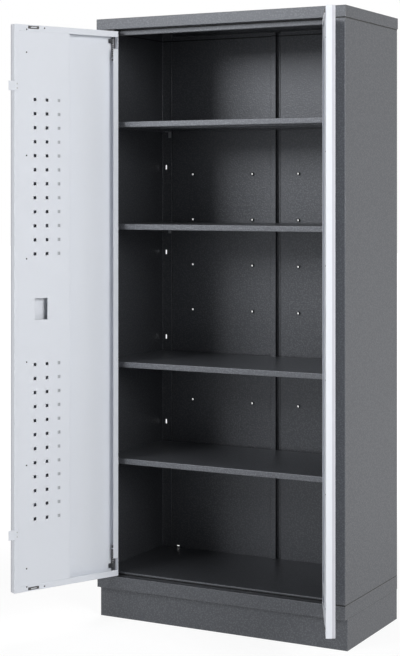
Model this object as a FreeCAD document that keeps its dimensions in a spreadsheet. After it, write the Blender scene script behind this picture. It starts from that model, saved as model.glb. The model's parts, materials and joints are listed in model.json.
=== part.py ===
"""Tall tool locker with two inset doors, four lift-off shelves and a plinth.

Frame: origin on the floor, under the middle of the plinth's front channel, +Z up, doors on the -Y side.
The doors are modelled open, each turned about its own hinge pins.
"""
import FreeCAD, Part
import Sketcher
import os
import re

# ---------------------------------------------------------------- driving dimensions (mm)
SIZES = [
    # the carcass
    ("width", 900, "overall width, over the cap"),
    ("depth", 450, "overall depth, over the cap"),
    ("height", 2000, "overall height"),
    ("sheet", 1.2, "sheet of the carcass"),
    ("bend", 2.0, "outer radius of the folds that show"),
    ("cap_height", 36, "skirt of the lid tray on top"),
    ("cap_proud", 1.5, "how far the cap stands out over the carcass"),
    ("plinth_height", 100, "plinth"),
    ("plinth_recess", 22, "toe recess under the front"),
    ("plinth_inset", 1, "plinth behind the sides and the back"),
    ("plinth_sheet", 1.5, "sheet of the plinth"),
    ("plinth_lip", 30, "folded lips of the plinth channels"),
    ("tray_height", 42, "band between plinth and doors"),
    ("tray_lip", 45, "inward lips under the base tray"),
    ("post_width", 45.5, "front face of a side panel"),
    ("post_depth", 30, "reveal beside the doors"),
    ("post_lip", 22, "lip behind the reveal, holds the front shelf clips"),
    ("rear_flange", 42, "rear flange of a side panel"),
    ("rear_hem", 10, "folded edge of the rear flange"),
    ("wall_slot_inset", 17.5, "wall-fixing slots, from the carcass side"),
    ("wall_slot_width", 8, "wall-fixing slots"),
    ("wall_slot_length", 18, "wall-fixing slots, end to end"),
    ("wall_slot_first", 599, "lowest wall-fixing slot"),
    ("wall_slot_pitch", 304, "wall-fixing slots"),
    ("wall_slots", 4, "wall-fixing slots in each side panel"),
    ("rail_upturn", 18, "front flange of the top rail, inside the cap"),
    ("rail_drop", 19, "door stop face of the top rail"),
    ("rail_return", 15, "lower return of the top rail"),
    ("rail_gap", 0.5, "top rail to the posts"),
    ("floor_height", 10, "inverted floor pan"),
    ("floor_gap", 1.5, "floor pan to the walls"),
    # the back
    ("back_sheet", 0.8, "sheet of the back panels"),
    ("back_lap", 25, "strip of the rear flange that the back leaves bare"),
    ("back_seam", 1, "gap between the two back panels"),
    ("back_rise", 13, "back panels above the cap's lower edge"),
    ("back_top_flange", 15, "forward fold at the top of the back panels"),
    ("back_hole", 9, "holes in the back panels"),
    ("back_hole_first", 525, "lowest row of holes"),
    ("back_hole_pitch", 160, "rows of holes"),
    ("back_hole_rows", 8, "rows of holes"),
    ("back_hole_inner", 88, "inner column of holes, from the middle"),
    ("back_hole_span", 234.5, "inner to outer column of holes"),
    ("back_slot_place", 383, "drain slot at the floor, from the middle"),
    ("back_slot_width", 12, "drain slot"),
    ("back_slot_height", 5, "drain slot"),
    ("upright_width", 14, "crown of the hat section over the back seam"),
    ("upright_depth", 15, "hat section over the back seam"),
    ("upright_foot", 13, "feet of that hat section"),
    # shelves and their clips
    ("shelf_level_1", 1657, "top face of the highest shelf"),
    ("shelf_level_2", 1315, "top face of the second shelf"),
    ("shelf_level_3", 854, "top face of the third shelf"),
    ("shelf_level_4", 531, "top face of the lowest shelf"),
    ("shelf_sheet", 1.0, "sheet of the shelves"),
    ("shelf_height", 19, "folded edges of a shelf"),
    ("shelf_lip", 12, "returns under the front and rear edges"),
    ("shelf_gap", 1.5, "shelf ends to the side panels"),
    ("shelf_front_gap", 3, "shelf to the post lips"),
    ("shelf_rear_gap", 2, "shelf to the back upright"),
    ("hat_crown", 40, "crown of the shelf stiffener"),
    ("hat_foot", 15, "feet of the shelf stiffener"),
    ("hat_depth", 15, "shelf stiffener"),
    ("hat_gap", 3, "shelf stiffener to the shelf's end folds"),
    ("clip_inset", 33, "clip slots, from the carcass side"),
    ("clip_width", 15, "shelf clips"),
    ("clip_sheet", 1.5, "shelf clips"),
    ("clip_leg", 22, "upright leg of a clip"),
    ("clip_bite", 12, "how far a clip reaches under the shelf"),
    ("clip_tongue_drop", 10, "tongue below the clip's top face"),
    ("clip_slot_width", 12, "clip slots"),
    ("clip_slot_height", 3, "clip slots"),
    ("clip_slot_play", 0.4, "tongue to its slot, each way"),
    ("front_tongue", 4, "tongue of a front clip, through the post lip"),
    # doors
    ("door_sheet", 1.0, "sheet of the doors"),
    ("door_thick", 27.5, "doors, outer to inner face"),
    ("door_side_gap", 3, "door to its post"),
    ("door_centre_gap", 4, "between the closed doors"),
    ("door_bottom_gap", 3, "door above the base tray"),
    ("door_top_gap", 7, "door below the cap"),
    ("open_angle", 115, "doors in the modelled pose, degrees"),
    ("pivot_inset", 8.5, "hinge axis, from the hinge edge"),
    ("pivot_depth", 7.1, "hinge axis, behind the outer face"),
    ("hinge_lip", 20, "inner lip at the hinge edge"),
    ("free_lip", 12, "inner lip at the free edge"),
    ("rebate", 2, "rebate along the outer corner of the free edge"),
    ("rebate_depth", 9.5, "that rebate, from the outer face"),
    ("end_lip", 20, "inner lips at the door's top and bottom"),
    ("panel_reach", 208, "perforated panel, from the free edge"),
    ("panel_foot", 14, "foot of the perforated panel on the skin"),
    ("panel_play", 0.5, "perforated panel to the walls of the skin"),
    ("handle_height", 1046, "middle of the lock cut-out, from the floor"),
    ("handle_place", 99.5, "middle of the lock cut-out, from the free edge"),
    ("cutout_width", 47, "lock cut-out"),
    ("cutout_height", 69, "lock cut-out"),
    ("perf_side", 10, "square perforations"),
    ("perf_pitch", 45, "square perforations"),
    ("perf_columns", 3, "columns of perforations"),
    ("perf_rows", 12, "rows in each of the two blocks"),
    ("perf_place", 76.5, "first column, from the free edge"),
    ("perf_inner", 177.5, "first row, from the lock cut-out's middle"),
    ("rib_crown", 30, "crown of the door's hat section"),
    ("rib_foot", 10, "feet of that hat section"),
    ("rib_gap", 3, "hat section behind the perforated panel"),
    ("rib_end_gap", 25, "hat section to the door's ends"),
    ("rivet_radius", 2.6, "heads of the rivets"),
    ("rivet_head", 1.0, "heads of the rivets"),
    ("rivet_place", 45, "rivets along the free edge"),
    ("rivet_low", 73, "lowest of those rivets, above the door's bottom"),
    ("rivet_high", 88, "highest of those rivets, below the door's top"),
    ("rivets", 6, "rivets along the free edge"),
    ("rivet_sides", 8, "flats round a rivet head and a hole in the back"),
    ("back_rivet_rows", 4, "rivets in each column on the back"),
    ("back_rivet_end", 150, "first and last of those rivets, from the back's ends"),
    ("end_rivet_drop", 15, "first and last rivet, from the door's ends"),
    ("tab_width", 30.5, "overlap tabs"),
    ("tab_hold", 15.4, "overlap tabs, on the left door"),
    ("tab_reach", 22, "overlap tabs, beyond the free edge"),
    ("tab_sheet", 1.5, "overlap tabs"),
    ("tab_step", 0.5, "joggle that clears the right door"),
    ("tab_offset", 714, "overlap tabs, from the lock cut-out's middle"),
    ("tab_rivet_place", 9, "tab rivets, from the free edge"),
    ("tab_rivet_span", 14, "between the two rivets of a tab"),
    ("magnet_width", 38, "magnet face"),
    ("magnet_height", 7, "magnet face"),
    ("magnet_proud", 2.0, "magnet face in front of the door's inner face"),
    ("magnet_play", 1, "magnet to its slot, each way"),
    ("magnet_place", 70.5, "magnet, from the free edge"),
    ("magnet_drop", 7.5, "magnet, from the door's end"),
    ("magnet_case_width", 90, "case behind the magnet"),
    ("magnet_case_height", 9, "case behind the magnet"),
    ("magnet_case_depth", 3.5, "case behind the magnet"),
    # hinge pins
    ("pin_radius", 4, "hinge pins"),
    ("pin_play", 0.05, "hinge pins in their bushes and brackets, radial"),
    ("pin_reach", 12, "hinge pin beyond the door's end"),
    ("pin_tail", 8, "hinge pin beyond its bracket"),
    ("pin_grip_drop", 32, "finger grip of a pin, from the door's end"),
    ("pin_grip_height", 14, "finger grip of a pin"),
    ("pin_grip_length", 15, "finger grip of a pin, from the axis"),
    ("pin_grip_thick", 6, "finger grip of a pin"),
    ("pin_collar_radius", 5.7, "spring collar of a pin"),
    ("pin_collar", 3, "spring collar of a pin"),
    ("pin_travel", 15, "how far a pin pulls back"),
    ("pin_hole_play", 0.6, "hinge pin in the door's end wall, radial"),
    ("pin_hole_sides", 16, "flats round the pin's hole in the door's end wall"),
    ("notch_play", 5, "notch for the finger grip, beyond its travel"),
    ("bracket_drop", 90, "pin bracket, from the door's end"),
    ("bracket_sheet", 1.5, "pin bracket"),
    ("bracket_side", 17, "pin bracket"),
    ("bracket_leg", 15, "leg of the pin bracket on the edge wall"),
    ("spring_inner", 4.5, "spring, inner radius"),
    ("spring_outer", 5.5, "spring, outer radius"),
    ("round_sides", 12, "flats round a bush, a collar, the cam and the space of a spring"),
    ("spring_gap", 0.3, "spring to its seats"),
    ("bush_radius", 5.6, "hinge bushes"),
    ("bush_flange_radius", 8, "hinge bushes"),
    ("bush_flange", 1.5, "hinge bushes"),
    ("bush_length", 10, "hinge bushes, past their flange"),
    ("bush_play", 0.1, "hinge bushes in their holes, radial"),
    # lock of the right door
    ("cup_wall", 2, "handle cup"),
    ("cup_play", 0.5, "handle cup in the door skin, each way"),
    ("cup_depth", 15, "handle cup behind the outer face"),
    ("cup_rim", 2.2, "rim of the handle cup in front of the door"),
    ("cup_rim_side", 8, "rim beside the cup"),
    ("cup_rim_above", 14, "rim above the cup"),
    ("cup_rim_below", 60, "rim below the cup, holds the lock"),
    ("lock_drop", 68, "lock below the cup's middle"),
    ("barrel_radius", 9, "lock barrel"),
    ("barrel_depth", 15, "lock barrel behind the outer face"),
    ("cylinder_radius", 6.5, "turning cylinder"),
    ("cylinder_play", 0.05, "cylinder in the barrel, radial"),
    ("cylinder_proud", 0.8, "cylinder in front of the rim"),
    ("keyway_width", 1.6, "keyway"),
    ("keyway_height", 8, "keyway"),
    ("keyway_depth", 4, "keyway"),
    ("cam_sheet", 2, "lock cam"),
    ("cam_gap", 0.4, "cam to the barrel and to the rods"),
    ("cam_throw", 9, "cam pins from the axis"),
    ("cam_pin_radius", 2.5, "cam pins"),
    ("cam_edge", 1.5, "lock cam, past its pins"),
    ("cam_pin_play", 0.4, "cam pins in the rods' slots"),
    ("rod_width", 14, "lock rods"),
    ("rod_sheet", 3, "lock rods"),
    ("rod_split", 1.4, "between the two lock rods"),
    ("rod_end", 7, "lock rods beyond their slots"),
    ("rod_retract", 1, "unlocked rod inside the door's end"),
    ("rod_play", 1, "lock rods in the end walls and keepers, each way"),
    ("guide_offset", 450, "rod guides, from the cup's middle"),
    ("guide_width", 44, "rod guides"),
    ("guide_height", 12, "rod guides"),
    ("guide_wall", 2, "rod guides over the rods"),
    ("guide_play", 0.3, "lock rods in the rod guides"),
]

# Places worked out from the sizes.
PLACES = {
    "body_x": "width / 2 - cap_proud",
    "plinth_front_y": "-plinth_lip / 2",
    "body_front": "plinth_front_y - plinth_recess",
    "body_back": "body_front + depth - 2 * cap_proud",
    "cap_front": "body_front - cap_proud",
    "cap_back": "body_back + cap_proud",
    "cap_bottom": "height - cap_height",
    "tray_top": "plinth_height + tray_height",
    "floor_top": "tray_top + floor_height",
    "flange_y": "body_back - back_sheet",
    "flange_inner": "flange_y - sheet",
    "post_x": "body_x - post_width",
    "stop_y": "body_front + post_depth",
    "back_top": "cap_bottom + back_rise",
    "clip_x": "body_x - clip_inset",
    "shelf_x": "body_x - sheet - shelf_gap",
    "shelf_front": "stop_y + shelf_front_gap",
    "shelf_back": "flange_y - upright_depth - shelf_rear_gap",
    "plinth_x": "body_x - plinth_inset",
    "plinth_back_y": "body_back - plinth_inset",
    # doors, seen closed: x runs from the pivot to the free edge, y from the pivot inwards
    "door_width": "post_x - door_side_gap - door_centre_gap / 2",
    "door_low": "tray_top + door_bottom_gap",
    "door_high": "cap_bottom - door_top_gap",
    "hinge_edge": "-pivot_inset",
    "free_edge": "door_width - pivot_inset",
    "outer_face": "-pivot_depth",
    "inner_face": "door_thick - pivot_depth",
    "panel_face": "inner_face - door_sheet",
    "pivot_x": "post_x - door_side_gap - pivot_inset",
    "pivot_y": "body_front + pivot_depth",
    "lock_x": "free_edge - handle_place",
    "lock_z": "handle_height - lock_drop",
    "cam_front": "outer_face + barrel_depth + cam_gap",
    "rod_front": "cam_front + cam_sheet + cam_gap",
    "rod_back": "rod_front + rod_sheet",
    "rod_offset": "rod_split / 2 + rod_width / 2",
    "cam_rest": "cam_throw * sin(45)",
}

doc = FreeCAD.newDocument("tool_locker")
sizes = doc.addObject("Spreadsheet::Sheet", "Sizes")
for row, (alias, number, meaning) in enumerate(SIZES, start=1):
    sizes.set(f"A{row}", str(number))
    sizes.setAlias(f"A{row}", alias)
    sizes.set(f"B{row}", meaning)
doc.recompute()
ALIASES = {alias for alias, number, meaning in SIZES}
NODES = []


# ---------------------------------------------------------------- formulas
def formula(text):
    """A formula on named sizes and places, written out for the spreadsheet's names."""
    def spell(match):
        word = match.group(0)
        if word in PLACES:
            return f"({formula(PLACES[word])})"
        return f"Sizes.{word}" if word in ALIASES else word
    return re.sub(r"[A-Za-z_][A-Za-z_0-9]*", spell, str(text))


def value(text):
    return float(sizes.evalExpression(formula(text)))


def mirrored(hand, text):
    """The same distance to the left (hand "-") or to the right (hand "")."""
    return f"{hand}({text})"


def rectangle(x_low, y_low, x_high, y_high):
    return [(x_low, y_low), (x_high, y_low), (x_high, y_high), (x_low, y_high)]


def centred(x_middle, y_middle, wide, high):
    half_wide, half_high = f"({wide}) / 2", f"({high}) / 2"
    return rectangle(f"{x_middle} - {half_wide}", f"{y_middle} - {half_high}",
                     f"{x_middle} + {half_wide}", f"{y_middle} + {half_high}")


def circle(x_middle, y_middle, radius):
    return ("circle", x_middle, y_middle, radius)


def many_sided(x_middle, y_middle, radius, sides="round_sides"):
    """A regular outline with flats, for small round shapes that repeat."""
    count = int(value(sides))
    return [(f"{x_middle} + ({radius}) * cos({360 * index / count})",
             f"{y_middle} + ({radius}) * sin({360 * index / count})") for index in range(count)]


def rivet_outline(x_middle, y_middle):
    return many_sided(x_middle, y_middle, "rivet_radius", "rivet_sides")


def upright_slot(x_middle, y_middle, wide, long):
    return ("slot", x_middle, y_middle, wide, long)


def folded(path, side, thick="sheet"):
    """Outline of a sheet folded at right angles; side 1 puts the sheet left of the path."""
    spots = [(value(x), value(y)) for x, y in path]
    normals = []
    for (x0, y0), (x1, y1) in zip(spots, spots[1:]):
        length = abs(x1 - x0) + abs(y1 - y0)
        normals.append((-side * (y1 - y0) / length, side * (x1 - x0) / length))
    second_face = []
    for index, (x, y) in enumerate(path):
        beside = normals[max(index - 1, 0):index + 1]
        shift_x = round(sum(normal[0] for normal in beside))
        shift_y = round(sum(normal[1] for normal in beside))
        second_face.append((f"{x} + ({shift_x}) * {thick}", f"{y} + ({shift_y}) * {thick}"))
    return list(path) + second_face[::-1]


# ---------------------------------------------------------------- features
def new_body(name):
    body = doc.addObject("PartDesign::Body", name)
    body.Label = name
    NODES.append(body)
    return body


def origin_plane(body, role):
    return next(item for item in body.Origin.OriginFeatures if item.Role == role)


def hold(sketch, kind, element, point, text):
    """Ties one coordinate or radius in a sketch to a formula."""
    index = sketch.addConstraint(Sketcher.Constraint(kind, element, point, value(text))
                                 if point else Sketcher.Constraint(kind, element, value(text)))
    sketch.setExpression(f"Constraints[{index}]", formula(text))


def draw_corners(sketch, corners):
    first = sketch.GeometryCount
    spots = [FreeCAD.Vector(value(x), value(y), 0) for x, y in corners]
    count = len(corners)
    for index in range(count):
        sketch.addGeometry(Part.LineSegment(spots[index], spots[(index + 1) % count]))
    for index in range(count):
        following = first + (index + 1) % count
        sketch.addConstraint(Sketcher.Constraint("Coincident", first + index, 2, following, 1))
    for index, (x, y) in enumerate(corners):
        hold(sketch, "DistanceX", first + index, 1, x)
        hold(sketch, "DistanceY", first + index, 1, y)


def draw_circle(sketch, x, y, radius):
    centre = FreeCAD.Vector(value(x), value(y), 0)
    element = sketch.addGeometry(Part.Circle(centre, FreeCAD.Vector(0, 0, 1), value(radius)))
    hold(sketch, "DistanceX", element, 3, x)
    hold(sketch, "DistanceY", element, 3, y)
    hold(sketch, "Radius", element, 0, radius)


def draw_slot(sketch, x, y, wide, long):
    """An upright slot with round ends."""
    middle, half = value(x), value(wide) / 2
    low, high = value(f"{y} - ({long} - {wide}) / 2"), value(f"{y} + ({long} - {wide}) / 2")
    up = FreeCAD.Vector(0, 0, 1)
    turn = 3.141592653589793
    top = Part.ArcOfCircle(Part.Circle(FreeCAD.Vector(middle, high, 0), up, half), 0, turn)
    foot = Part.ArcOfCircle(Part.Circle(FreeCAD.Vector(middle, low, 0), up, half), turn, 2 * turn)
    left = Part.LineSegment(FreeCAD.Vector(middle - half, high, 0), FreeCAD.Vector(middle - half, low, 0))
    right = Part.LineSegment(FreeCAD.Vector(middle + half, low, 0), FreeCAD.Vector(middle + half, high, 0))
    elements = [sketch.addGeometry(part) for part in (top, left, foot, right)]
    for index, element in enumerate(elements):
        following = elements[(index + 1) % 4]
        sketch.addConstraint(Sketcher.Constraint("Tangent", element, 2, following, 1))
    sketch.addConstraint(Sketcher.Constraint("Equal", elements[0], elements[2]))
    for element, sign in ((elements[0], "+"), (elements[2], "-")):
        hold(sketch, "DistanceX", element, 3, x)
        hold(sketch, "DistanceY", element, 3, f"{y} {sign} ({long} - {wide}) / 2")
    hold(sketch, "Radius", elements[0], 0, f"{wide} / 2")


def new_sketch(body, plane, level, outlines):
    """A sketch at a level along the plane's axis; XZ sketches face -Y."""
    sketch = body.newObject("Sketcher::SketchObject", f"{body.Name}_sketch")
    sketch.AttachmentSupport = [(origin_plane(body, f"{plane}_Plane"), "")]
    sketch.MapMode = "FlatFace"
    sign = "-" if plane == "XZ" else ""
    sketch.setExpression("AttachmentOffset.Base.z", formula(f"{sign}({level})"))
    for outline in outlines:
        if outline[0] == "circle":
            draw_circle(sketch, *outline[1:])
        elif outline[0] == "slot":
            draw_slot(sketch, *outline[1:])
        else:
            draw_corners(sketch, outline)
    return sketch


def pad(body, plane, low, high, *outlines):
    """Material between two levels along the axis of the plane."""
    level = high if plane == "XZ" else low
    feature = body.newObject("PartDesign::Pad", f"{body.Name}_pad")
    feature.Profile = new_sketch(body, plane, level, outlines)
    feature.setExpression("Length", formula(f"({high}) - ({low})"))
    return feature


def cut(body, plane, low, high, *outlines):
    """A pocket between two levels along the axis of the plane."""
    level = low if plane == "XZ" else high
    feature = body.newObject("PartDesign::Pocket", f"{body.Name}_cut")
    feature.Profile = new_sketch(body, plane, level, outlines)
    feature.setExpression("Length", formula(f"({high}) - ({low})"))
    return feature


def repeat(body, feature, axis, pitch, count, second=None):
    """Copies of a feature along one axis, or along two; a minus sign turns an axis round.

    A count of 1 comes first, because a new second direction starts with a gap of 0 in its list.
    """
    pattern = body.newObject("PartDesign::LinearPattern", f"{body.Name}_pattern")
    pattern.Originals = [feature]
    steps = [(axis, pitch, count, "")]
    if second:
        steps.append((*second, "2"))
    for step_axis, step_pitch, step_count, suffix in steps:
        line = origin_plane(body, f"{step_axis.strip('-')}_Axis")
        setattr(pattern, f"Direction{suffix}", (line, [""]))
        setattr(pattern, f"Reversed{suffix}", step_axis.startswith("-"))
        setattr(pattern, f"Mode{suffix}", "Spacing")
        setattr(pattern, f"Occurrences{suffix}", 1)
        pattern.setExpression(f"Offset{suffix}", formula(step_pitch))
        pattern.setExpression(f"Occurrences{suffix}", formula(step_count))
    body.Tip = pattern
    return pattern


def round_edges(body, radius, axis, spots):
    """Rounds the edges that run along an axis through the given spots of the other two."""
    across = [index for index in range(3) if index != "XYZ".index(axis)]
    targets = [(value(first), value(second)) for first, second in spots]

    def on_target(edge):
        ends = [vertex.Point for vertex in edge.Vertexes]
        return any(all(abs(end[across[side]] - target[side]) < 0.01 for end in ends for side in (0, 1))
                   for target in targets)
    return fillet(body, radius, on_target)


def fillet(body, radius, wanted):
    """Rounds the edges for which wanted is true."""
    doc.recompute()
    base = body.Tip
    names = [f"Edge{number}" for number, edge in enumerate(base.Shape.Edges, start=1) if wanted(edge)]
    if not names:
        raise RuntimeError(f"{body.Label} has no edge to round")
    feature = body.newObject("PartDesign::Fillet", f"{body.Name}_round")
    feature.Base = (base, names)
    feature.setExpression("Radius", formula(radius))
    return feature


# ---------------------------------------------------------------- carcass
def side_panel(name, hand):
    """Post, skin and rear flange folded from one sheet."""
    body = new_body(name)
    path = [
        (mirrored(hand, "body_x - rear_flange"), "flange_y - rear_hem"),
        (mirrored(hand, "body_x - rear_flange"), "flange_y"),
        (mirrored(hand, "body_x"), "flange_y"),
        (mirrored(hand, "body_x"), "body_front"),
        (mirrored(hand, "post_x"), "body_front"),
        (mirrored(hand, "post_x"), "stop_y"),
        (mirrored(hand, "post_x + post_lip"), "stop_y"),
    ]
    side = 1 if hand else -1
    pad(body, "XY", "tray_top", "height - sheet", folded(path, side))
    corners = [(mirrored(hand, "body_x"), "body_front"), (mirrored(hand, "post_x"), "body_front")]
    round_edges(body, "bend", "Z", corners + [(mirrored(hand, "body_x"), "flange_y")])
    slot = cut(body, "XZ", "flange_inner - 1", "flange_y + 1",
               upright_slot(mirrored(hand, "body_x - wall_slot_inset"), "wall_slot_first",
                            "wall_slot_width", "wall_slot_length"))
    repeat(body, slot, "Z", "wall_slot_pitch", "wall_slots")
    for low, high in (("flange_inner - 1", "flange_y + 1"), ("stop_y - sheet - 1", "stop_y + 1")):
        cut(body, "XZ", low, high,
            *[centred(mirrored(hand, "clip_x"), f"{level} - shelf_height - clip_tongue_drop",
                      "clip_slot_width", "clip_slot_height") for level in SHELF_LEVELS])


def top_cap():
    """Lid tray whose skirt hangs over the carcass."""
    body = new_body("top_cap")
    pad(body, "XY", "cap_bottom", "height", rectangle("-width / 2", "cap_front", "width / 2", "cap_back"))
    round_edges(body, "bend", "X", [("cap_front", "height"), ("cap_back", "height")])
    cut(body, "XY", "cap_bottom", "height - sheet",
        rectangle("-(width / 2 - sheet)", "cap_front + sheet", "width / 2 - sheet", "cap_back - sheet"))


def top_rail():
    """Header over the doors: flange in the cap, bush shelf, stop face and return."""
    body = new_body("top_rail")
    path = [
        ("body_front", "cap_bottom + rail_upturn"),
        ("body_front", "cap_bottom"),
        ("stop_y", "cap_bottom"),
        ("stop_y", "cap_bottom - rail_drop"),
        ("stop_y + rail_return", "cap_bottom - rail_drop"),
    ]
    reach = "post_x - rail_gap"
    pad(body, "YZ", f"-({reach})", reach, folded(path, 1))
    round_edges(body, "bend", "X", [("stop_y", "cap_bottom - rail_drop")])
    cut(body, "XY", "cap_bottom - 1", "cap_bottom + sheet + 1", *bush_holes(), keeper("+"))


def bush_holes():
    return [many_sided(mirrored(hand, "pivot_x"), "pivot_y", "bush_radius + bush_play") for hand in ("-", "")]


def keeper(side):
    """Slot that a lock rod enters when the right door is closed and locked."""
    middle = f"pivot_x - (lock_x {side} rod_offset)"
    return centred(middle, "pivot_y + (rod_front + rod_back) / 2",
                   "rod_width + 2 * rod_play", "rod_sheet + 2 * rod_play")


def base_tray():
    """Box of folded sheet, open below, with lips that sit on the plinth."""
    body = new_body("base_tray")
    pad(body, "XY", "plinth_height", "tray_top", rectangle("-body_x", "body_front", "body_x", "body_back"))
    for hand in ("-", ""):
        side = mirrored(hand, "body_x")
        round_edges(body, "bend", "Z", [(side, "body_front"), (side, "body_back")])
    cut(body, "XY", "plinth_height", "tray_top - sheet",
        rectangle("-(body_x - sheet)", "body_front + sheet", "body_x - sheet", "body_back - sheet"))
    pad(body, "XY", "plinth_height", "plinth_height + sheet",
        rectangle("-(body_x - sheet / 2)", "body_front + sheet / 2", "body_x - sheet / 2", "body_back - sheet / 2"),
        rectangle("-(body_x - tray_lip)", "body_front + tray_lip", "body_x - tray_lip", "body_back - tray_lip"))
    cut(body, "XY", "tray_top - sheet - 1", "tray_top + 1", *bush_holes(), keeper("-"))


def floor_panel():
    """Inverted pan whose front edge is the lower door stop, notched round the rear flanges."""
    body = new_body("floor_panel")
    reach = "body_x - sheet - floor_gap"
    rear = "flange_y - floor_gap"
    pad(body, "XY", "tray_top", "floor_top", rectangle(f"-({reach})", "stop_y", reach, rear))
    round_edges(body, "bend", "X", [("stop_y", "floor_top")])
    cut(body, "XY", "tray_top", "floor_top - sheet",
        rectangle(f"-({reach} - sheet)", "stop_y + sheet", f"{reach} - sheet", f"{rear} - sheet"))
    notch = "body_x - rear_flange - floor_gap"
    notch_y = "flange_y - rear_hem - floor_gap"
    cut(body, "XY", "tray_top", "floor_top",
        rectangle(notch, notch_y, "body_x", "body_back"),
        rectangle("-body_x", notch_y, f"-({notch})", "body_back"))


def back_panel(name, hand):
    """Half of the back, with two columns of round holes and a drain slot at the floor."""
    body = new_body(name)
    inner, outer = mirrored(hand, "back_seam / 2"), mirrored(hand, "body_x - back_lap")
    pad(body, "XZ", "flange_y", "body_back", rectangle(inner, "tray_top", outer, "back_top"))
    pad(body, "XY", "back_top - back_sheet", "back_top",
        rectangle(inner, "flange_inner - back_top_flange", mirrored(hand, "body_x - rear_flange - rear_hem"),
                  "body_back - back_sheet / 2"))
    hole = cut(body, "XZ", "flange_y - 1", "body_back + 1",
               many_sided(mirrored(hand, "back_hole_inner"), "back_hole_first", "back_hole / 2", "rivet_sides"))
    away = "-X" if hand else "X"
    repeat(body, hole, "Z", "back_hole_pitch", "back_hole_rows", (away, "back_hole_span", "2"))
    cut(body, "XZ", "flange_y - 1", "body_back + 1",
        centred(mirrored(hand, "back_slot_place"), "floor_top + back_slot_height",
                "back_slot_width", "back_slot_height"))


def back_upright():
    """Hat section that covers the seam between the back panels."""
    body = new_body("back_upright")
    side, crown = "upright_width / 2", "flange_y - upright_depth"
    path = [
        (f"-({side} + upright_foot)", "flange_y"),
        (f"-({side})", "flange_y"),
        (f"-({side})", crown),
        (side, crown),
        (side, "flange_y"),
        (f"{side} + upright_foot", "flange_y"),
    ]
    outline = hat_outline(path)
    pad(body, "XY", "floor_top + floor_gap", "back_top - back_sheet - floor_gap", outline)


def hat_outline(path, thick="sheet"):
    """Outline of a hat section; its feet lie on the line that the path starts and ends on."""
    return folded(path, -1 if value(path[2][1]) < value(path[0][1]) else 1, thick)


def back_rivets():
    """Rivet heads on the outside of the back."""
    body = new_body("back_rivets")
    columns = [mirrored(hand, place) for hand in ("-", "")
               for place in ("clip_x", "(upright_width + upright_foot) / 2")]
    heads = [rivet_outline(column, "floor_top + back_rivet_end") for column in columns]
    first = pad(body, "XZ", "body_back", "body_back + rivet_head", *heads)
    repeat(body, first, "Z", "(back_top - floor_top - 2 * back_rivet_end) / (back_rivet_rows - 1)", "back_rivet_rows")


def plinth_rail(name, face, into):
    """Front or rear channel of the plinth; into is +1 when its lips point to +Y."""
    body = new_body(name)
    inner = f"{face} + ({into}) * plinth_lip"
    path = [(inner, "0"), (face, "0"), (face, "plinth_height"), (inner, "plinth_height")]
    pad(body, "YZ", "-plinth_x", "plinth_x", folded(path, -into, "plinth_sheet"))
    for hand in ("-", ""):
        round_edges(body, "plinth_sheet * 0.8", "Z", [(mirrored(hand, "plinth_x"), face)])


def plinth_side(name, hand):
    """Side channel of the plinth: the web closes the corners, the lips stop at the rails."""
    body = new_body(name)
    outer, inner = mirrored(hand, "plinth_x"), mirrored(hand, "plinth_x - plinth_sheet")
    pad(body, "XY", "plinth_sheet", "plinth_height - plinth_sheet",
        rectangle(outer, "plinth_front_y + plinth_sheet", inner, "plinth_back_y - plinth_sheet"))
    lip = rectangle(outer, "plinth_front_y + plinth_lip", mirrored(hand, "plinth_x - plinth_lip"),
                    "plinth_back_y - plinth_lip")
    pad(body, "XY", "0", "plinth_sheet", lip)
    pad(body, "XY", "plinth_height - plinth_sheet", "plinth_height", lip)


def hinge_bushes():
    """Flanged bushes in the top rail and the base tray."""
    body = new_body("hinge_bushes")

    def pair(outline, radius):
        return [outline(mirrored(hand, "pivot_x"), "pivot_y", radius) for hand in ("-", "")]
    pad(body, "XY", "cap_bottom - bush_flange", "cap_bottom", *pair(many_sided, "bush_flange_radius"))
    pad(body, "XY", "cap_bottom - bush_flange", "cap_bottom + bush_length", *pair(many_sided, "bush_radius"))
    pad(body, "XY", "tray_top", "tray_top + bush_flange", *pair(many_sided, "bush_flange_radius"))
    pad(body, "XY", "tray_top - bush_length", "tray_top + bush_flange", *pair(many_sided, "bush_radius"))
    cut(body, "XY", "tray_top - bush_length", "cap_bottom + bush_length", *pair(circle, "pin_radius + pin_play"))


# ---------------------------------------------------------------- shelves
SHELF_LEVELS = [f"shelf_level_{number}" for number in (1, 2, 3, 4)]


def shelf(number, level):
    """Pan with folded edges and returns under the front and rear."""
    body = new_body(f"shelf_{number}")
    low = f"{level} - shelf_height"
    pad(body, "XY", low, level, rectangle("-shelf_x", "shelf_front", "shelf_x", "shelf_back"))
    round_edges(body, "bend", "X", [("shelf_front", level), ("shelf_front", low)])
    cut(body, "XY", low, f"{level} - shelf_sheet",
        rectangle("-(shelf_x - shelf_sheet)", "shelf_front + shelf_sheet",
                  "shelf_x - shelf_sheet", "shelf_back - shelf_sheet"))
    reach = "shelf_x - shelf_sheet / 2"
    pad(body, "XY", low, f"{low} + shelf_sheet",
        rectangle(f"-({reach})", "shelf_front + bend", reach, "shelf_front + shelf_lip"),
        rectangle(f"-({reach})", "shelf_back - shelf_lip", reach, "shelf_back - shelf_sheet / 2"))


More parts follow.
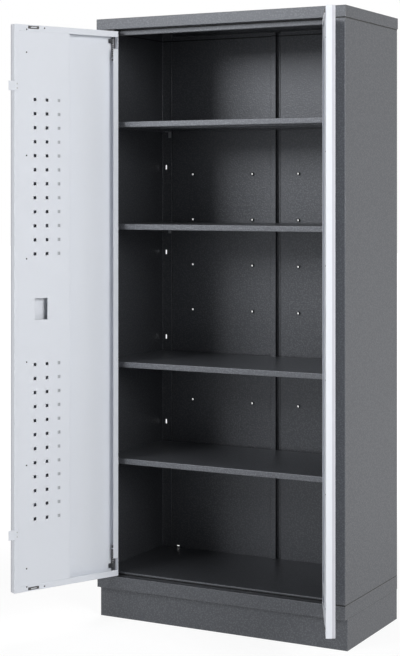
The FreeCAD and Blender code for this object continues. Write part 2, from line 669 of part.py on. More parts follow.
def shelf_stiffener(number, level):
    """Hat section welded under the middle of a shelf."""
    body = new_body(f"shelf_stiffener_{number}")
    top = f"{level} - shelf_sheet"
    middle, crown = "(shelf_front + shelf_back) / 2", f"{top} - hat_depth"
    path = [
        (f"{middle} - hat_crown / 2 - hat_foot", top),
        (f"{middle} - hat_crown / 2", top),
        (f"{middle} - hat_crown / 2", crown),
        (f"{middle} + hat_crown / 2", crown),
        (f"{middle} + hat_crown / 2", top),
        (f"{middle} + hat_crown / 2 + hat_foot", top),
    ]
    reach = "shelf_x - shelf_sheet - hat_gap"
    pad(body, "YZ", f"-({reach})", reach, hat_outline(path, "shelf_sheet"))


def shelf_clips(number, level):
    """Four bent clips, hooked into the post lips and the rear flanges."""
    body = new_body(f"shelf_clips_{number}")
    top = f"{level} - shelf_height"
    tongue = f"{top} - clip_tongue_drop"
    front_reach, rear_reach = "shelf_front + clip_bite", "shelf_back - clip_bite"
    ledges, legs = [], []
    for hand in ("-", ""):
        low_x, high_x = f"{hand}clip_x - clip_width / 2", f"{hand}clip_x + clip_width / 2"
        ledges += [rectangle(low_x, "stop_y", high_x, front_reach),
                   rectangle(low_x, rear_reach, high_x, "flange_inner")]
        legs += [rectangle(low_x, "stop_y", high_x, "stop_y + clip_sheet"),
                 rectangle(low_x, "flange_inner - clip_sheet", high_x, "flange_inner")]
    pad(body, "XY", f"{top} - clip_leg", top, *legs)
    pad(body, "XY", f"{top} - clip_sheet", top, *ledges)
    tongues = [centred(f"{hand}clip_x", tongue, "clip_slot_width - 2 * clip_slot_play",
                       "clip_slot_height - 2 * clip_slot_play") for hand in ("-", "")]
    pad(body, "XZ", "stop_y - front_tongue", "stop_y + clip_sheet / 2", *tongues)
    pad(body, "XZ", "flange_inner - clip_sheet / 2", "flange_y - clip_slot_play / 2", *tongues)


# ---------------------------------------------------------------- doors
class Door:
    """Pieces of one door, drawn closed about its hinge axis and then turned open."""

    def __init__(self, name, hand):
        self.name = name
        self.hand = hand
        self.flip = "" if hand else "-"
        self.side = 1 if hand else -1

    def body(self, name):
        """A new body on the hinge axis, turned to the open angle."""
        body = new_body(name)
        angle = "-open_angle" if self.hand else "open_angle"
        turn = FreeCAD.Rotation(FreeCAD.Vector(0, 0, 1), value(angle))
        body.Placement = FreeCAD.Placement(FreeCAD.Vector(), turn)
        body.setExpression("Placement.Base.x", formula(mirrored(self.hand, "pivot_x")))
        body.setExpression("Placement.Base.y", formula("pivot_y"))
        body.setExpression("Placement.Rotation.Angle", formula(angle))
        return body

    def along(self, text):
        """Distance from the hinge axis towards the free edge."""
        return f"{self.flip}({text})"

    def skin(self):
        """Pan with inner lips on all four edges."""
        body = self.body(f"{self.name}_door_skin")
        path = [
            (self.along("hinge_edge + hinge_lip"), "inner_face"),
            (self.along("hinge_edge"), "inner_face"),
            (self.along("hinge_edge"), "outer_face"),
            (self.along("free_edge - rebate"), "outer_face"),
            (self.along("free_edge - rebate"), "outer_face + rebate_depth"),
            (self.along("free_edge"), "outer_face + rebate_depth"),
            (self.along("free_edge"), "inner_face"),
            (self.along("free_edge - free_lip"), "inner_face"),
        ]
        pad(body, "XY", "door_low", "door_high", folded(path, self.side, "door_sheet"))
        half = "door_sheet / 2"
        wall = [
            (self.along(f"hinge_edge + {half}"), f"outer_face + {half}"),
            (self.along(f"free_edge - rebate - {half}"), f"outer_face + {half}"),
            (self.along(f"free_edge - rebate - {half}"), f"outer_face + rebate_depth + {half}"),
            (self.along(f"free_edge - {half}"), f"outer_face + rebate_depth + {half}"),
            (self.along(f"free_edge - {half}"), f"inner_face - {half}"),
            (self.along(f"hinge_edge + {half}"), f"inner_face - {half}"),
        ]
        pad(body, "XY", "door_low", "door_low + door_sheet", wall)
        pad(body, "XY", "door_high - door_sheet", "door_high", wall)
        near, far = self.along(f"hinge_edge + {half}"), self.along(f"free_edge - {half}")
        pad(body, "XZ", "inner_face - door_sheet", "inner_face",
            rectangle(near, "door_low", far, "door_low + end_lip"),
            rectangle(near, "door_high - end_lip", far, "door_high"))
        corners = [("hinge_edge", "outer_face"), ("hinge_edge", "inner_face"),
                   ("free_edge - rebate", "outer_face"), ("free_edge", "inner_face")]
        round_edges(body, "door_sheet * 1.2", "Z", [(self.along(end), face) for end, face in corners])
        cut(body, "XY", "door_low - 1", "door_high + 1",
            many_sided("0", "0", "pin_radius + pin_hole_play", "pin_hole_sides"))
        grip = "(pin_grip_height / 2 + notch_play)"
        near, far = self.along("hinge_edge + door_sheet + 1"), self.along("hinge_edge + hinge_lip + 1")
        cut(body, "XZ", "inner_face - door_sheet - 1", "inner_face + 1",
            rectangle(near, f"door_high - pin_grip_drop - {grip} - pin_travel",
                      far, f"door_high - pin_grip_drop + {grip}"),
            rectangle(near, f"door_low + pin_grip_drop - {grip}",
                      far, f"door_low + pin_grip_drop + {grip} + pin_travel"))
        self.magnet_slots(body)
        if not self.hand:
            self.lock_holes(body)

    def magnet_slots(self, body):
        wide, high = "magnet_width + 2 * magnet_play", "magnet_height + 2 * magnet_play"
        middle = self.along("free_edge - magnet_place")
        cut(body, "XZ", "inner_face - 3 * door_sheet", "inner_face + 1",
            centred(middle, "door_low + magnet_drop", wide, high),
            centred(middle, "door_high - magnet_drop", wide, high))

    def lock_holes(self, body):
        """Openings for the handle cup and the lock barrel, and for the rods in the end walls."""
        play = "2 * cup_play"
        cut(body, "XZ", "outer_face - 1", "outer_face + door_sheet + 1",
            centred(self.along("lock_x"), "handle_height", f"cutout_width + {play}", f"cutout_height + {play}"),
            circle(self.along("lock_x"), "lock_z", "barrel_radius + cup_play"))
        for offset, low, high in (("+ rod_offset", "door_high - door_sheet - 1", "door_high + 1"),
                                  ("- rod_offset", "door_low - 1", "door_low + door_sheet + 1")):
            cut(body, "XY", low, high,
                centred(self.along(f"lock_x {offset}"), "(rod_front + rod_back) / 2",
                        "rod_width + rod_play", "rod_sheet + rod_play"))

    def panel(self):
        """Perforated inner panel, tucked under the lips, with a foot on the skin."""
        body = self.body(f"{self.name}_door_panel")
        path = [
            (self.along("free_edge - door_sheet - panel_play"), "panel_face"),
            (self.along("free_edge - panel_reach"), "panel_face"),
            (self.along("free_edge - panel_reach"), "outer_face + door_sheet"),
            (self.along("free_edge - panel_reach + panel_foot"), "outer_face + door_sheet"),
        ]
        ends = "(door_sheet + panel_play)"
        pad(body, "XY", f"door_low + {ends}", f"door_high - {ends}", folded(path, self.side, "door_sheet"))
        low, high = "panel_face - door_sheet - 1", "inner_face + 1"
        away = "-X" if self.hand else "X"
        first = self.along("free_edge - perf_place")
        for block, up in (("+", "Z"), ("-", "-Z")):
            hole = cut(body, "XZ", low, high,
                       centred(first, f"handle_height {block} perf_inner", "perf_side", "perf_side"))
            repeat(body, hole, away, "perf_pitch", "perf_columns", (up, "perf_pitch", "perf_rows"))
        cut(body, "XZ", low, high,
            centred(self.along("lock_x"), "handle_height", "cutout_width", "cutout_height"))
        self.magnet_slots(body)

    def stiffener(self):
        """Hat section on the skin, behind the perforations farthest from the free edge."""
        body = self.body(f"{self.name}_door_stiffener")
        middle = "free_edge - perf_place - perf_pitch * (perf_columns - 1)"
        foot, crown = "outer_face + door_sheet", "panel_face - door_sheet - rib_gap"
        path = [
            (self.along(f"{middle} + rib_crown / 2 + rib_foot"), foot),
            (self.along(f"{middle} + rib_crown / 2"), foot),
            (self.along(f"{middle} + rib_crown / 2"), crown),
            (self.along(f"{middle} - rib_crown / 2"), crown),
            (self.along(f"{middle} - rib_crown / 2"), foot),
            (self.along(f"{middle} - rib_crown / 2 - rib_foot"), foot),
        ]
        pad(body, "XY", "door_low + rib_end_gap", "door_high - rib_end_gap",
            folded(path, -self.side, "door_sheet"))

    def rivets(self):
        """Rivets along the free edge, and those that hold the magnet cases."""
        body = self.body(f"{self.name}_door_rivets")
        column = self.along("free_edge - rivet_place")
        head = pad(body, "XZ", "panel_face", "panel_face + rivet_head",
                   rivet_outline(column, "door_low + rivet_low"))
        pitch = "(door_high - door_low - rivet_low - rivet_high) / (rivets - 1)"
        repeat(body, head, "Z", pitch, "rivets")
        far = self.along("free_edge - magnet_place - magnet_case_width / 2 + rivet_radius + 1.5")
        pad(body, "XZ", "inner_face", "inner_face + rivet_head",
            rivet_outline(column, "door_high - end_rivet_drop"),
            rivet_outline(column, "door_low + end_rivet_drop"),
            rivet_outline(far, "door_high - magnet_drop"),
            rivet_outline(far, "door_low + magnet_drop"))

    def magnets(self):
        """Two magnetic catches: a case behind the panel and a face through its slot."""
        body = self.body(f"{self.name}_door_magnets")
        middle = self.along("free_edge - magnet_place")
        back = "panel_face - door_sheet"
        levels = ("door_low + magnet_drop", "door_high - magnet_drop")
        pad(body, "XZ", f"{back} - magnet_case_depth", back,
            *[centred(middle, level, "magnet_case_width", "magnet_case_height") for level in levels])
        pad(body, "XZ", f"{back} - magnet_case_depth", "inner_face + magnet_proud",
            *[centred(middle, level, "magnet_width", "magnet_height") for level in levels])

    def pin_brackets(self):
        """Angle plates in the hinge channel that guide the tails of the pins."""
        body = self.body(f"{self.name}_pin_brackets")
        start = "hinge_edge + door_sheet"
        plate = rectangle(self.along(start), "outer_face + door_sheet",
                          self.along(f"{start} + bracket_side"), "outer_face + door_sheet + bracket_side")
        leg = rectangle(self.along(start), "outer_face + door_sheet",
                        self.along(f"{start} + bracket_sheet"), "outer_face + door_sheet + bracket_side")
        for end, away in (("door_high", "-"), ("door_low", "+")):
            seat = f"{end} {away} bracket_drop"
            low, high = (seat, f"{seat} + bracket_sheet") if away == "-" else (f"{seat} - bracket_sheet", seat)
            pad(body, "XY", low, high, plate)
            if away == "-":
                pad(body, "XY", f"{seat} - bracket_leg", high, leg)
            else:
                pad(body, "XY", low, f"{seat} + bracket_leg", leg)
        cut(body, "XY", "door_low", "door_high", circle("0", "0", "pin_radius + pin_play"))

    def pin(self, which):
        """Hinge pin with finger grip and spring collar."""
        body = self.body(f"{self.name}_{which}_pin")
        end, out, back = ("door_high", "+", "-") if which == "upper" else ("door_low", "-", "+")
        tip, tail = f"{end} {out} pin_reach", f"{end} {back} (bracket_drop + pin_tail)"
        grip = f"{end} {back} pin_grip_drop"
        collar_near = f"{grip} {back} pin_grip_height / 2"
        collar_far = f"{collar_near} {back} pin_collar"
        ordered = (lambda one, two: (two, one)) if which == "upper" else (lambda one, two: (one, two))
        low, high = ordered(tip, tail)
        pad(body, "XY", low, high, circle("0", "0", "pin_radius"))
        low, high = ordered(collar_near, collar_far)
        pad(body, "XY", low, high, many_sided("0", "0", "pin_collar_radius"))
        pad(body, "XY", f"{grip} - pin_grip_height / 2", f"{grip} + pin_grip_height / 2",
            rectangle("0", "-pin_grip_thick / 2", self.along("pin_grip_length"), "pin_grip_thick / 2"))

    def spring(self, which):
        """Space of the coil spring between the pin's collar and its bracket."""
        body = self.body(f"{self.name}_{which}_spring")
        end, back = ("door_high", "-") if which == "upper" else ("door_low", "+")
        collar = f"{end} {back} (pin_grip_drop + pin_grip_height / 2 + pin_collar + spring_gap)"
        seat = f"{end} {back} (bracket_drop - bracket_sheet - spring_gap)"
        low, high = (seat, collar) if which == "upper" else (collar, seat)
        pad(body, "XY", low, high, many_sided("0", "0", "spring_outer"), many_sided("0", "0", "spring_inner"))


def overlap_tabs(door):
    """Joggled tabs that reach behind the closed right door, and their rivets."""
    body = door.body("left_door_tabs")
    levels = ("handle_height + tab_offset", "handle_height - tab_offset")

    def strips(near, far):
        return [rectangle(door.along(near), f"{level} - tab_width / 2",
                          door.along(far), f"{level} + tab_width / 2") for level in levels]
    pad(body, "XZ", "inner_face", "inner_face + tab_sheet",
        *strips("free_edge - tab_hold", "free_edge + door_centre_gap / 2"))
    pad(body, "XZ", "inner_face + tab_step", "inner_face + tab_step + tab_sheet",
        *strips("free_edge", "free_edge + tab_reach"))
    body = door.body("tab_rivets")
    heads = [rivet_outline(door.along("free_edge - tab_rivet_place"), f"{level} {sign} tab_rivet_span / 2")
             for level in levels for sign in ("+", "-")]
    pad(body, "XZ", "inner_face + tab_sheet", "inner_face + tab_sheet + rivet_head", *heads)


# ---------------------------------------------------------------- lock of the right door
def handle_cup(door):
    """Recessed grip with a rim that also frames the lock."""
    body = door.body("handle_cup")
    middle = door.along("lock_x")
    rim = rectangle(door.along("lock_x - cutout_width / 2 - cup_rim_side"),
                    "handle_height - cutout_height / 2 - cup_rim_below",
                    door.along("lock_x + cutout_width / 2 + cup_rim_side"),
                    "handle_height + cutout_height / 2 + cup_rim_above")
    pad(body, "XZ", "outer_face - cup_rim", "outer_face", rim)
    pad(body, "XZ", "outer_face - cup_rim", "outer_face + cup_depth",
        centred(middle, "handle_height", "cutout_width", "cutout_height"))
    cut(body, "XZ", "outer_face - cup_rim", "outer_face + cup_depth - cup_wall",
        centred(middle, "handle_height", "cutout_width - 2 * cup_wall", "cutout_height - 2 * cup_wall"))
    cut(body, "XZ", "outer_face - cup_rim - 1", "outer_face + 1",
        circle(middle, "lock_z", "barrel_radius + cylinder_play"))


def lock_barrel(door):
    """Fixed sleeve of the lock."""
    body = door.body("lock_barrel")
    middle = door.along("lock_x")
    pad(body, "XZ", "outer_face - cup_rim", "outer_face + barrel_depth",
        many_sided(middle, "lock_z", "barrel_radius"),
        circle(middle, "lock_z", "cylinder_radius + cylinder_play"))


def lock_cylinder(door):
    """Turning cylinder with its keyway."""
    body = door.body("lock_cylinder")
    middle = door.along("lock_x")
    front = "outer_face - cup_rim - cylinder_proud"
    pad(body, "XZ", front, "cam_front", circle(middle, "lock_z", "cylinder_radius"))
    cut(body, "XZ", front, f"{front} + keyway_depth",
        centred(middle, "lock_z", "keyway_width", "keyway_height"))


def lock_cam(door):
    """Plate on the cylinder with one pin for each rod, drawn unlocked."""
    body = door.body("lock_cam")
    hub = many_sided(door.along("lock_x"), "lock_z", "cam_throw + cam_pin_radius + cam_edge")
    pad(body, "XZ", "cam_front", "cam_front + cam_sheet", hub)
    pins = [circle(door.along(f"lock_x {x_sign} cam_rest"), f"lock_z {z_sign} cam_rest", "cam_pin_radius")
            for x_sign, z_sign in (("+", "-"), ("-", "+"))]
    pad(body, "XZ", "cam_front + cam_sheet / 2", "rod_back + cam_gap", *pins)


def lock_rod(door, which):
    """Flat rod with a cross slot round its cam pin, drawn pulled in."""
    body = door.body(f"{which}_lock_rod")
    sign, back = ("+", "-") if which == "upper" else ("-", "+")
    middle = f"lock_x {sign} rod_offset"
    slot_z = f"lock_z {back} cam_rest"
    near = f"{slot_z} {back} rod_end"
    far = "door_high - rod_retract" if which == "upper" else "door_low + rod_retract"
    low, high = (near, far) if which == "upper" else (far, near)
    pad(body, "XZ", "rod_front", "rod_back",
        rectangle(door.along(f"{middle} - rod_width / 2"), low, door.along(f"{middle} + rod_width / 2"), high))
    slot_middle = f"lock_x {sign} (cam_rest + cam_throw) / 2"
    cut(body, "XZ", "rod_front - 1", "rod_back + 1",
        centred(door.along(slot_middle), slot_z,
                "cam_throw - cam_rest + 2 * (cam_pin_radius + cam_pin_play)",
                "2 * (cam_pin_radius + cam_pin_play)"))


def rod_guides(door):
    """Blocks on the skin that hold the rods straight."""
    body = door.body("rod_guides")
    foot, crown = "outer_face + door_sheet", "rod_back + guide_play + guide_wall"
    for sign in ("+", "-"):
        middle = f"handle_height {sign} guide_offset"
        low, high = f"{middle} - guide_height / 2", f"{middle} + guide_height / 2"
        centre = door.along("lock_x")
        pad(body, "XY", low, high,
            centred(centre, f"({foot} + {crown}) / 2", "guide_width", f"{crown} - ({foot})"))
        cut(body, "XY", low, high,
            centred(door.along(f"lock_x {sign} rod_offset"), "(rod_front + rod_back) / 2",
                    "rod_width + 2 * guide_play", "rod_sheet + 2 * guide_play"))


# ---------------------------------------------------------------- the locker
side_panel("side_panel_left", "-")
side_panel("side_panel_right", "")
top_cap()
top_rail()
base_tray()
floor_panel()
back_panel("back_panel_left", "-")
back_panel("back_panel_right", "")
back_upright()
back_rivets()
plinth_rail("plinth_front", "plinth_front_y", 1)
plinth_rail("plinth_rear", "plinth_back_y", -1)
plinth_side("plinth_left", "-")
plinth_side("plinth_right", "")
hinge_bushes()
for place, shelf_level in enumerate(SHELF_LEVELS, start=1):
    shelf(place, shelf_level)
    shelf_stiffener(place, shelf_level)
    shelf_clips(place, shelf_level)

left_door = Door("left", "-")
right_door = Door("right", "")
for leaf in (left_door, right_door):
    leaf.skin()
    leaf.panel()
    leaf.stiffener()
    leaf.rivets()
    leaf.magnets()
    leaf.pin_brackets()
    for place in ("upper", "lower"):
        leaf.pin(place)
        leaf.spring(place)
overlap_tabs(left_door)
handle_cup(right_door)
lock_barrel(right_door)
lock_cylinder(right_door)
lock_cam(right_door)
lock_rod(right_door, "upper")
lock_rod(right_door, "lower")
rod_guides(right_door)

# ---------------------------------------------------------------- check and write
doc.recompute()
for item in doc.Objects:
    if {"Invalid", "Error"} & set(item.State):
        raise RuntimeError(f"{item.Label} failed: {item.State}")
for node in NODES:
    if node.Shape.isNull() or not node.Shape.isValid():
        raise RuntimeError(f"{node.Label} has no valid shape")
os.makedirs("parts", exist_ok=True)
for node in NODES:
    node.Shape.exportStep(f"parts/{node.Label}.step")
print(len(NODES), "nodes,", sum(len(node.Shape.Solids) for node in NODES), "solids")
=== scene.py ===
# %% [markdown]
# # A steel side locker
#
# The locker stands beside a tool chest. Its carcass and shelves are folded sheet with a dark
# hammertone coat, and its two doors are pale pans with punched panels inside. The solids come
# from the CAD model; here they get their finishes, and the small round pieces that the model
# keeps plain are made properly: coil springs and domed rivets.

# %% Load the solids
import json
import math

import bmesh
import bpy
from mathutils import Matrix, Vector


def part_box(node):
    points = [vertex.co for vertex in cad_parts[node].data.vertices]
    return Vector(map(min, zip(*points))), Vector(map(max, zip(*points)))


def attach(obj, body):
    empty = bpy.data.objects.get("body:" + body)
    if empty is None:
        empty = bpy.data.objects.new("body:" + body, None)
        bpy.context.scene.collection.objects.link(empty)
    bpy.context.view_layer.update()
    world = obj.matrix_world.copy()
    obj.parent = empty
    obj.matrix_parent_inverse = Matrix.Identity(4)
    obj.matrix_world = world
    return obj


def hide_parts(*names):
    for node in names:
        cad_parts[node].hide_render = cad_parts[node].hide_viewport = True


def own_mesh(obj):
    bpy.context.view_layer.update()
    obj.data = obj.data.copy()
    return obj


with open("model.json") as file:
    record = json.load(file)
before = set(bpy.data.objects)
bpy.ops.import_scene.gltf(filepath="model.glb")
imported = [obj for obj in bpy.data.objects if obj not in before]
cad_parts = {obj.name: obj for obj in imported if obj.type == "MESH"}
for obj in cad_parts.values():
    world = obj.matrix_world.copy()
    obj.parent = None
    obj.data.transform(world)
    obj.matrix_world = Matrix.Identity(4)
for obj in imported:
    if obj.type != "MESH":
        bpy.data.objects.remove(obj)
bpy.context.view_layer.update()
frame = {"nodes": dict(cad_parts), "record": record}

print("nodes", len(frame["nodes"]))

# %% [markdown]
# ## Camera
#
# The view is level, at chest height, from the front and to the right. A camera that looks level
# keeps the upright edges upright, so the frame is moved down with the lens shift instead of
# tilting the camera. The focal length is long, because the picture was taken from far away.

# %% Camera
STAND = Vector((2.345, -4.5495, 1.422))
TURN = math.radians(28.04)
LENS = 86.76
SHIFT = -0.2073

camera_data = bpy.data.cameras.new("studio_camera")
camera_data.lens = LENS
camera_data.shift_y = SHIFT
camera = bpy.data.objects.new("studio_camera", camera_data)
camera.location = STAND
camera.rotation_euler = (math.radians(90), 0, TURN)
bpy.context.scene.collection.objects.link(camera)
bpy.context.scene.camera = camera
bpy.context.scene.view_settings.view_transform = "Standard"
print("camera", [round(number, 2) for number in STAND], "lens", LENS)

# %% [markdown]
# ## Sockets as numbers
#
# A finish is a recipe of masks: near an edge, in a dimple, on a speck. Written as sums those
# recipes stay readable, so a socket gets the operators +, - and *, also with a plain number in
# front of it, and each expression adds the Math nodes it needs. Every other node comes from
# `Finish.node`.


# %% Sockets and finishes
class Socket:
    """An output socket that can be used in a sum."""

    def __init__(self, finish, link):
        self.finish = finish
        self.link = link

    def __add__(self, other):
        return self.finish.maths("ADD", self, other)

    def __radd__(self, other):
        return self.finish.maths("ADD", other, self)

    def __sub__(self, other):
        return self.finish.maths("SUBTRACT", self, other)

    def __rsub__(self, other):
        return self.finish.maths("SUBTRACT", other, self)

    def __mul__(self, other):
        return self.finish.maths("MULTIPLY", self, other)

    def __rmul__(self, other):
        return self.finish.maths("MULTIPLY", other, self)


class Finish:
    """A node tree under construction, for a surface or for the world."""

    def __init__(self, tree):
        self.tree = tree
        self.tree.nodes.clear()

    def node(self, kind, settings, sockets, output=0):
        """Adds a node: settings first, then a value or a link for each named socket."""
        made = self.tree.nodes.new("ShaderNode" + kind)
        for name, setting in settings.items():
            setattr(made, name, setting)
        for name, given in sockets.items():
            if isinstance(given, Socket):
                self.tree.links.new(given.link, made.inputs[name])
            else:
                made.inputs[name].default_value = given
        return Socket(self, made.outputs[output]) if made.outputs else None

    def maths(self, operation, first, second=0.0):
        return self.node("Math", {"operation": operation}, {0: first, 1: second})

    def clamp(self, amount):
        return self.node("Clamp", {}, {"Value": amount})

    def colour(self, factor, first, second):
        """A colour between two others."""
        return self.node("Mix", {"data_type": "RGBA"}, {0: factor, 6: first, 7: second}, 2)

    def place(self):
        """Position on the piece, in metres."""
        return self.node("TexCoord", {}, {}, "Object")

    def facing(self):
        """The way the surface faces, in the piece's own frame, so that it turns with the piece."""
        return self.node("TexCoord", {}, {}, "Normal")

    def axis(self, vector, name):
        """One coordinate of a vector: X, Y or Z."""
        return self.node("SeparateXYZ", {}, {"Vector": vector}, name)

    def seen(self):
        """1 for the rays that show the white room: from the camera, mirrored or refracted."""
        return self.clamp(self.node("LightPath", {}, {}, "Is Camera Ray")
                          + self.node("LightPath", {}, {}, "Is Glossy Ray")
                          + self.node("LightPath", {}, {}, "Is Transmission Ray"))

    def noise(self, place, size, detail=3.0, stretch=(1, 1, 1)):
        """Soft random variation; size is the width of its patches in metres."""
        scaled = self.node("Mapping", {}, {"Vector": place, "Scale": stretch})
        return self.node("TexNoise", {}, {"Vector": scaled, "Scale": 1 / size, "Detail": detail})

    def cells(self, place, size, softness):
        """Distance to the middle of the nearest of many random cells."""
        return self.node("TexVoronoi", {"feature": "SMOOTH_F1"},
                         {"Vector": place, "Scale": 1 / size, "Smoothness": softness})

    def ramp(self, amount, low, high):
        """0 below low, 1 above high and a soft step between them."""
        return self.node("MapRange", {"interpolation_type": "SMOOTHSTEP"},
                         {"Value": amount, "From Min": low, "From Max": high})

    def soft_edge(self, radius):
        """A normal that is rounded over near the edges."""
        return self.node("Bevel", {"samples": 4}, {"Radius": radius})

    def edge_mask(self, rounded, gain):
        """1 along the edges, from how far the rounded normal leans."""
        flat = self.node("NewGeometry", {}, {}, "Normal")
        agree = self.node("VectorMath", {"operation": "DOT_PRODUCT"}, {0: rounded, 1: flat}, "Value")
        return self.clamp((1 - agree) * gain)

    def surface(self, **sockets):
        """The shader and the output; _ in a name stands for a blank."""
        named = {name.replace("_", " "): given for name, given in sockets.items()}
        shader = self.node("BsdfPrincipled", {}, named)
        self.node("OutputMaterial", {}, {"Surface": shader})


# %% Make a finish
def new_finish(name):
    """An empty material with its builder."""
    material = bpy.data.materials.new(name)
    material.use_nodes = True
    return material, Finish(material.node_tree)


def grey(level, warm=0.0, blue=0.0):
    """A colour near grey, in linear light."""
    return (level * (1 + warm), level, level * (1 + blue), 1)


# %% [markdown]
# ## Studio
#
# The locker stands in a white room. The white that the camera sees comes from the floor and the
# world, only for camera, glossy and transmitted rays. The world has a strength of 1. The floor
# glows a little less near the locker, where its paper keeps the soft shadow, and is even white
# from a few metres on. The light that falls on the steel comes from three large soft lamps and a
# weak fill, at a level where a painted surface shows about the colour that it has.

# %% White room
FILL = 0.12
WHITE = 1.0
world = bpy.data.worlds.new("white_room")
world.use_nodes = True
bpy.context.scene.world = world
room = Finish(world.node_tree)
fill = room.node("Background", {}, {"Color": grey(1, 0, 0.03), "Strength": FILL})
white = room.node("Background", {}, {"Color": grey(1), "Strength": WHITE})
both = room.node("MixShader", {}, {0: room.seen(), 1: fill, 2: white})
room.node("OutputWorld", {}, {"Surface": both})
print("fill", FILL)

# %% Floor
NEAR, FAR = 1.0, 2.6
NEAR_GLOW = 0.78
FLOOR_SIZE = 60

floor_paint, sheet = new_finish("studio_floor")
spread = sheet.node("VectorMath", {"operation": "LENGTH"}, {0: sheet.place()}, "Value")
far = sheet.ramp(spread, NEAR, FAR)
paper = sheet.node("BsdfDiffuse", {}, {"Color": grey(0.8)})
glow = sheet.node("Emission", {}, {"Color": grey(1), "Strength": 1.13})
share = sheet.seen() * (NEAR_GLOW + far * (1 - NEAR_GLOW))
mixed = sheet.node("MixShader", {}, {0: share, 1: paper, 2: glow})
sheet.node("OutputMaterial", {}, {"Surface": mixed})

bpy.ops.mesh.primitive_plane_add(size=FLOOR_SIZE, location=(0, 0, 0))
floor = bpy.context.object
floor.name = "studio_floor"
floor.data.materials.append(floor_paint)
print("floor", floor.dimensions[:2])

# %% Lamps
AIM = Vector((0, 0.1, 1.05))


def lamp(name, place, size, power):
    """A square soft lamp that faces the locker."""
    data = bpy.data.lights.new(name, "AREA")
    data.size = size
    data.energy = power
    holder = bpy.data.objects.new(name, data)
    holder.location = place
    holder.rotation_euler = (AIM - Vector(place)).to_track_quat("-Z", "Y").to_euler()
    bpy.context.scene.collection.objects.link(holder)


lamp("key_lamp", (4.6, -2.6, 2.6), 2.4, 210)
lamp("left_lamp", (-2.5, -4.8, 3.2), 1.7, 115)
lamp("back_lamp", (-1.4, 3.9, 5.6), 2.4, 110)
print("lamps", [light.name for light in bpy.data.lights])

# %% [markdown]
# ## Hammertone coat
#
# The carcass and the shelves have a hammertone finish: a thick grey lacquer with aluminium flakes
# that draws together into shallow cells while it dries. Seen close it is a net of smooth dimples a
# few millimetres wide, each with a bright spot, and from afar it is a grainy grey. Soft Voronoi
# cells give the dimples, pushed about by a little noise so that they don't look tiled, and the
# same cells tint the colour, because the flakes gather in the hollows. Along the folds the colour
# is painted much brighter, a painted highlight where the lacquer is also thin. Where two sheets
# meet, a near-black line is painted on upright sheet, painted shade in the joint: under the cap,
# over the base tray and, fainter, under the tray. The shelves get a lighter copy of the coat,
# painted light for the light that falls on them.

# %% Joints of the carcass
UNDER_CAP = (1.9618, 0.0024, 0.95)
OVER_TRAY = (0.1445, 0.0026, 0.97)
UNDER_TRAY = (0.0990, 0.0014, 0.7)


def painted_joint_shade(coat, place):
    """Painted shade on upright sheet near a joint, from the joint's height, half width and strength.
    """
    height = coat.axis(place, "Z")
    lines = 0.0
    for middle, reach, strength in (UNDER_CAP, OVER_TRAY, UNDER_TRAY):
        away = coat.maths("ABSOLUTE", height - middle)
        lines = (1 - coat.ramp(away, reach * 0.6, reach)) * strength + lines
    tilt = coat.maths("ABSOLUTE", coat.axis(coat.facing(), "Z"))
    return coat.clamp(lines) * (1 - coat.ramp(tilt, 0.3, 0.6))


# %% Hammertone
DIMPLE, FLECK, HAMMER_CLOUD = 0.0052, 0.0016, 0.35
PUSH, PUSH_SCALE = 0.006, 90.0
FOLD = 0.002


def hammertone(name, tone):
    """The lacquer in a given tone, from the sizes of its dimples, flecks and clouds in metres."""
    material, coat = new_finish(name)
    place = coat.place()
    drift = coat.node("TexNoise", {}, {"Vector": place, "Scale": PUSH_SCALE, "Detail": 2.0}, "Color")
    pushed = coat.node("VectorMath", {"operation": "MULTIPLY_ADD"},
                       {0: drift, 1: (PUSH, PUSH, PUSH), 2: place})
    dimple = coat.ramp(coat.cells(pushed, DIMPLE, 0.35), 0.12, 0.62)
    fleck = coat.noise(place, FLECK, 1.0)
    cloud = coat.noise(place, HAMMER_CLOUD, 2.0)
    rounded = coat.soft_edge(FOLD)
    edge = coat.edge_mask(rounded, 3.0)
    hollow = coat.clamp(dimple * 0.75 + fleck * 0.5 - 0.12)
    body = coat.colour(hollow, grey(tone * 1.22, -0.05, 0.09), grey(tone * 0.72, -0.05, 0.12))
    shaded = coat.colour(cloud * 0.22, body, grey(tone * 0.82, -0.05, 0.1))
    # Along every edge the colour is painted much brighter: a painted highlight of the folds, where the
    # lacquer is also thin.
    with_painted_light = coat.colour(edge * 0.75, shaded, grey(tone * 2.6, -0.03, 0.06))
    # Near the joints of the carcass the colour is painted near black: painted shade in the joint.
    finished_colour = coat.colour(painted_joint_shade(coat, place), with_painted_light, grey(0.012))
    relief = coat.node("Bump", {"invert": True},
                       {"Strength": 0.35, "Distance": 0.0006, "Height": dimple + fleck * 0.15,
                        "Normal": rounded})
    coat.surface(Base_Color=finished_colour, Metallic=0.5, Roughness=0.35 + fleck * 0.12 - edge * 0.06,
                 Specular_IOR_Level=0.35, Normal=relief)
    return material


carcass_coat = hammertone("hammertone_carcass", 0.116)
# The shelves get a lighter copy of the coat: painted light for the light that falls on their lips and
# tops.
shelf_coat = hammertone("hammertone_shelves_painted_lighter", 0.165)
print(carcass_coat.name, shelf_coat.name)

# %% [markdown]
# ## Powder coat of the doors
#
# The doors are sprayed with a pale grey powder that melts into a skin with a fine orange peel.
# It is even in colour and a little duller where hands have polished or scuffed it. Along the folds
# the colour is painted a little brighter, a faint painted highlight. A fine noise makes the peel, a
# large one the slow change of tone, and a noise stretched along the door's height the faint wiping
# marks in the gloss. The stiffeners inside the doors get a darker copy of the coat, painted shade
# for their place behind the punched panel. Along the free edge of a door the outer sheet is hemmed
# and lies a step back, and there the colour is painted greyer, painted shade of the step. The hem
# is found from the mesh: it faces along the door, near the outer face.

